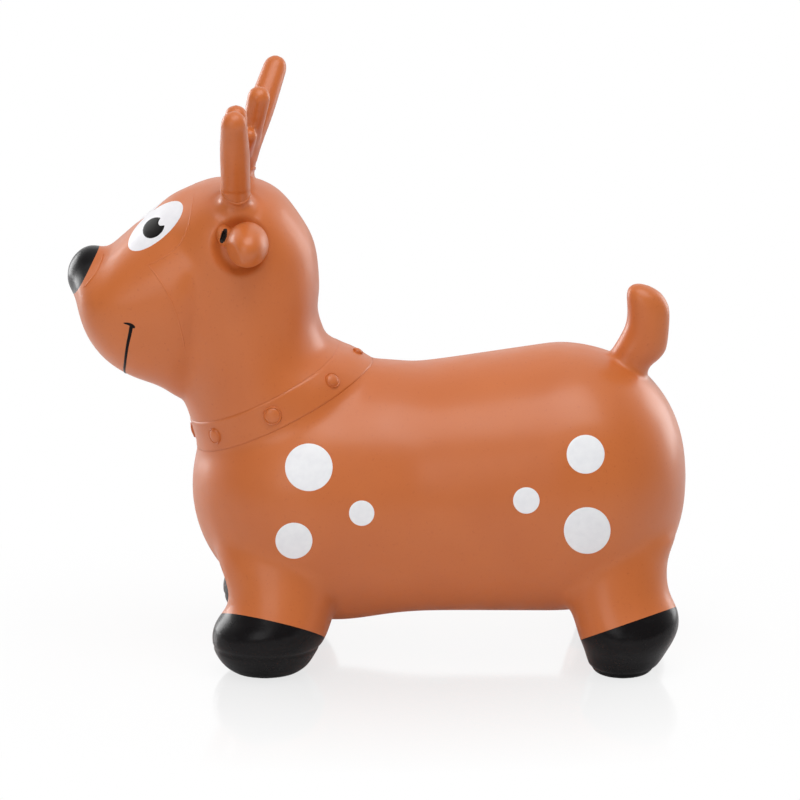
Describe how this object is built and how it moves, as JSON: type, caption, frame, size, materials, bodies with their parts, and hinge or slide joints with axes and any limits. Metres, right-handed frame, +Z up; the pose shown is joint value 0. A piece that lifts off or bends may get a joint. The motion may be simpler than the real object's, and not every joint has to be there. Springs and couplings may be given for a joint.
{
  "type": "inflatable ride-on hopper animal",
  "caption": "Inflated ride-on deer for bouncing: hollow body with collar, soft antlers and tail, printed face and spots, and squashy hooves.",
  "frame": {"origin": "on the floor under the middle of the whole object's box", "axes": "the animal looks along -X and its back runs along X, its left side is at -Y, and +Z is up from the soles"},
  "size_m": [0.5502, 0.2476, 0.5165],
  "materials": {
    "brown_pvc": "satin inflated soft PVC",
    "black_paint_pvc": "glossy sprayed paint on soft PVC",
    "black_print": "satin printed ink",
    "white_print": "satin printed ink",
    "stopper_plastic": "satin moulded plastic"
  },
  "bodies": {
    "deer_body": {"torso_skin": "brown_pvc", "collar_band": "brown_pvc", "head_skin": "brown_pvc", "nose_tip": "black_paint_pvc", "left_ear": "brown_pvc", "right_ear": "brown_pvc", "left_antler_root": "brown_pvc", "right_antler_root": "brown_pvc", "tail_root": "brown_pvc", "front_left_leg": "brown_pvc", "front_right_leg": "brown_pvc", "rear_left_leg": "brown_pvc", "rear_right_leg": "brown_pvc", "collar_stud_1": "brown_pvc", "collar_stud_2": "brown_pvc", "collar_stud_3": "brown_pvc", "collar_stud_4": "brown_pvc", "collar_stud_5": "brown_pvc", "collar_stud_6": "brown_pvc", "collar_stud_7": "brown_pvc", "collar_stud_8": "brown_pvc", "left_ear_lining": "black_print", "right_ear_lining": "black_print", "left_spot_shoulder_upper": "white_print", "left_spot_shoulder_lower": "white_print", "left_spot_shoulder_small": "white_print", "left_spot_rump_upper": "white_print", "left_spot_rump_small": "white_print", "left_spot_rump_lower": "white_print", "right_spot_shoulder_upper": "white_print", "right_spot_shoulder_lower": "white_print", "right_spot_shoulder_small": "white_print", "right_spot_rump_upper": "white_print", "right_spot_rump_small": "white_print", "right_spot_rump_lower": "white_print", "left_eye_white": "white_print", "left_pupil": "black_print", "right_eye_white": "white_print", "right_pupil": "black_print", "mouth_line": "black_print", "valve_seat": "brown_pvc"},
    "front_left_hoof_body": {"front_left_hoof": "black_paint_pvc"},
    "front_right_hoof_body": {"front_right_hoof": "black_paint_pvc"},
    "rear_left_hoof_body": {"rear_left_hoof": "black_paint_pvc"},
    "rear_right_hoof_body": {"rear_right_hoof": "black_paint_pvc"},
    "left_antler_body": {"left_antler": "brown_pvc"},
    "right_antler_body": {"right_antler": "brown_pvc"},
    "tail_body": {"tail": "brown_pvc"},
    "plug_body": {"valve_plug": "stopper_plastic"}
  },
  "joints": [
    {"name": "front_left_leg_squash", "type": "slide", "parent": "deer_body", "child": "front_left_hoof_body", "axis": [0, 0, 1], "range_m": [0, 0.008], "stiffness_N_per_m": 2450, "springref_m": -0.004, "deforming": ["front_left_leg"]},
    {"name": "front_right_leg_squash", "type": "slide", "parent": "deer_body", "child": "front_right_hoof_body", "axis": [0, 0, 1], "range_m": [0, 0.008], "stiffness_N_per_m": 2450, "springref_m": -0.004, "deforming": ["front_right_leg"]},
    {"name": "rear_left_leg_squash", "type": "slide", "parent": "deer_body", "child": "rear_left_hoof_body", "axis": [0, 0, 1], "range_m": [0, 0.008], "stiffness_N_per_m": 2450, "springref_m": -0.004, "deforming": ["rear_left_leg"]},
    {"name": "rear_right_leg_squash", "type": "slide", "parent": "deer_body", "child": "rear_right_hoof_body", "axis": [0, 0, 1], "range_m": [0, 0.008], "stiffness_N_per_m": 2450, "springref_m": -0.004, "deforming": ["rear_right_leg"]},
    {"name": "left_antler_flex", "type": "hinge", "parent": "deer_body", "child": "left_antler_body", "pos_m": [-0.12214, -0.04805, 0.434], "axis": [0, 1, 0], "range_deg": [-20, 20], "stiffness_Nm_per_rad": 0.5},
    {"name": "right_antler_flex", "type": "hinge", "parent": "deer_body", "child": "right_antler_body", "pos_m": [-0.11711, 0.04805, 0.434], "axis": [0, 1, 0], "range_deg": [-20, 20], "stiffness_Nm_per_rad": 0.5},
    {"name": "tail_flex", "type": "hinge", "parent": "deer_body", "child": "tail_body", "pos_m": [0.2345, 0, 0.27717], "axis": [0, 1, 0], "range_deg": [-20, 20], "stiffness_Nm_per_rad": 0.8},
    {"name": "valve_plug_pull", "type": "slide", "parent": "deer_body", "child": "plug_body", "axis": [0, 0, -1], "range_m": [0, 0.02]}
  ]
}
